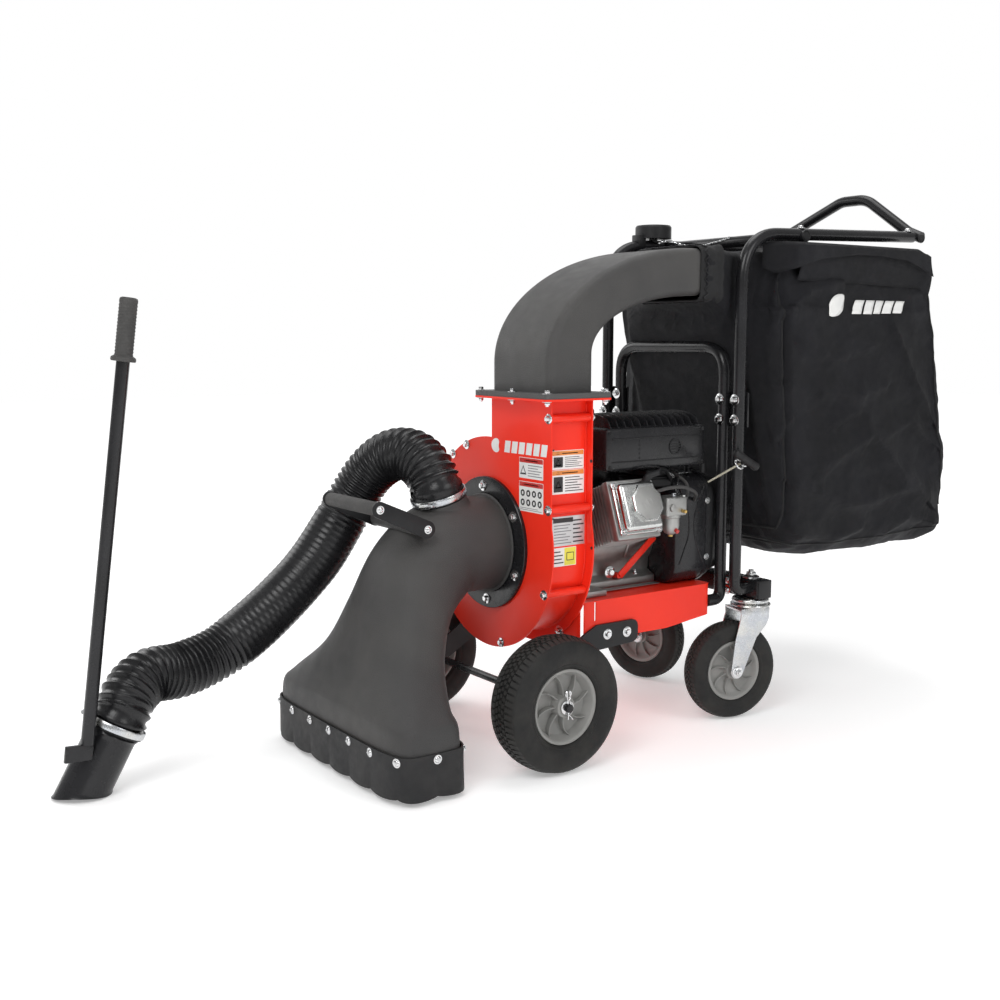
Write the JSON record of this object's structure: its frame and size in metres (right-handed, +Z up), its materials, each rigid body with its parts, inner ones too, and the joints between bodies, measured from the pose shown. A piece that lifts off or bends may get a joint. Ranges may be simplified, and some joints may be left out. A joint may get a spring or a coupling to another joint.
{
  "type": "leaf vacuum mulcher",
  "caption": "Walk-behind engine-driven leaf vacuum: floor hood, red shredding fan, elbow chute, hanging bag, two front wheels, swivel casters and a hand wand on a flexible hose.",
  "frame": {"origin": "middle of the bottom of the machine's box, on the ground", "axes": "+Z up, -Y forward towards the floor hood, +X the machine's left"},
  "size_m": [0.571, 1.981, 1.1465],
  "materials": {
    "red_paint": "gloss powder coat",
    "black_paint": "gloss paint on steel",
    "charcoal_plastic": "rotomoulded, pebbled",
    "black_plastic": "moulded, fine texture",
    "grey_plastic": "moulded, satin",
    "tyre_rubber": "block tread",
    "skirt_rubber": "flexible sheet",
    "hose_plastic": "corrugated, glossy",
    "zinc_plate": "zinc plated",
    "cast_aluminium": "as cast",
    "bag_fabric": "woven nylon",
    "rope": "braided"
  },
  "bodies": {
    "chassis": {"deck": "red_paint", "front_plate": "red_paint", "back_plate": "red_paint", "scroll": "red_paint", "spacer_top": "red_paint", "spacer_middle": "red_paint", "spacer_bottom": "red_paint", "outlet_flange": "red_paint", "front_axle": "black_paint", "axle_bracket_left": "black_paint", "axle_bracket_right": "black_paint", "caster_beam": "black_paint", "inlet_ring": "black_paint", "frame_left": "black_paint", "frame_right": "black_paint", "guard_hoop": "black_paint", "bag_crossbar": "black_paint", "push_handle": "black_paint", "muffler_guard": "black_paint", "fuel_tank": "black_paint", "blower_housing": "black_paint", "rope_guide": "black_paint", "wand_nozzle": "black_paint", "wand_rod": "black_paint", "hood": "charcoal_plastic", "chute": "charcoal_plastic", "air_filter": "black_plastic", "recoil_cover": "black_plastic", "port_plug": "black_plastic", "wand_grip": "black_plastic", "skirt": "skirt_rubber", "hose": "hose_plastic", "caster_stem_left": "zinc_plate", "caster_stem_right": "zinc_plate", "hose_clamp_upper": "zinc_plate", "hose_clamp_lower": "zinc_plate", "crankcase": "cast_aluminium", "cylinder": "cast_aluminium", "rocker_cover": "cast_aluminium", "carburettor": "cast_aluminium", "bag": "bag_fabric", "starter_rope": "rope"},
    "front_left_wheel": {"front_left_tyre": "tyre_rubber", "front_left_rim": "grey_plastic"},
    "front_right_wheel": {"front_right_tyre": "tyre_rubber", "front_right_rim": "grey_plastic"},
    "caster_left_swivel": {"caster_fork_left": "zinc_plate"},
    "caster_left_wheel": {"caster_left_tyre": "tyre_rubber", "caster_left_rim": "grey_plastic"},
    "caster_right_swivel": {"caster_fork_right": "zinc_plate"},
    "caster_right_wheel": {"caster_right_tyre": "tyre_rubber", "caster_right_rim": "grey_plastic"},
    "rotor": {"crankshaft": "zinc_plate", "impeller": "black_paint", "flywheel": "cast_aluminium"},
    "hood_grip": {"hood_handle": "black_paint"},
    "starter_grip": {"starter_handle": "black_plastic"},
    "throttle": {"throttle_lever": "black_plastic"},
    "choke": {"choke_lever": "zinc_plate"},
    "tank_cap": {"fuel_cap": "black_plastic"}
  },
  "joints": [
    {"name": "front_left_wheel_spin", "type": "hinge", "parent": "chassis", "child": "front_left_wheel", "pos_m": [0.24, -0.16947, 0.13], "axis": [1, 0, 0], "continuous": true},
    {"name": "front_right_wheel_spin", "type": "hinge", "parent": "chassis", "child": "front_right_wheel", "pos_m": [-0.24, -0.16947, 0.13], "axis": [1, 0, 0], "continuous": true},
    {"name": "caster_left_turn", "type": "hinge", "parent": "chassis", "child": "caster_left_swivel", "pos_m": [0.2, 0.39053, 0.24], "axis": [0, 0, 1], "continuous": true},
    {"name": "caster_left_wheel_spin", "type": "hinge", "parent": "caster_left_swivel", "child": "caster_left_wheel", "pos_m": [0.1896, 0.34162, 0.105], "axis": [0.9781, -0.2079, 0], "continuous": true},
    {"name": "caster_right_turn", "type": "hinge", "parent": "chassis", "child": "caster_right_swivel", "pos_m": [-0.2, 0.39053, 0.24], "axis": [0, 0, 1], "continuous": true},
    {"name": "caster_right_wheel_spin", "type": "hinge", "parent": "caster_right_swivel", "child": "caster_right_wheel", "pos_m": [-0.1517, 0.40347, 0.105], "axis": [-0.2588, 0.9659, 0], "continuous": true},
    {"name": "rotor_spin", "type": "hinge", "parent": "chassis", "child": "rotor", "pos_m": [0, 0.03053, 0.403], "axis": [0, 1, 0], "continuous": true},
    {"name": "hood_grip_tilt", "type": "hinge", "parent": "chassis", "child": "hood_grip", "pos_m": [0, -0.35947, 0.458], "axis": [1, 0, 0], "range_deg": [-30, 50]},
    {"name": "starter_pull", "type": "slide", "parent": "chassis", "child": "starter_grip", "axis": [0.8729, 0.0873, 0.4801], "range_m": [0, 0.55], "stiffness_N_per_m": 40, "springref_m": -0.35},
    {"name": "throttle_turn", "type": "hinge", "parent": "chassis", "child": "throttle", "pos_m": [0.112, 0.28453, 0.532], "axis": [0, 0, 1], "range_deg": [0, 30]},
    {"name": "choke_turn", "type": "hinge", "parent": "chassis", "child": "choke", "pos_m": [0.196, 0.16453, 0.495], "axis": [0, 0, 1], "range_deg": [0, 60]},
    {"name": "tank_cap_turn", "type": "hinge", "parent": "chassis", "child": "tank_cap", "pos_m": [-0.06, 0.13053, 0.65], "axis": [0, 0, 1], "range_deg": [0, 90]}
  ]
}
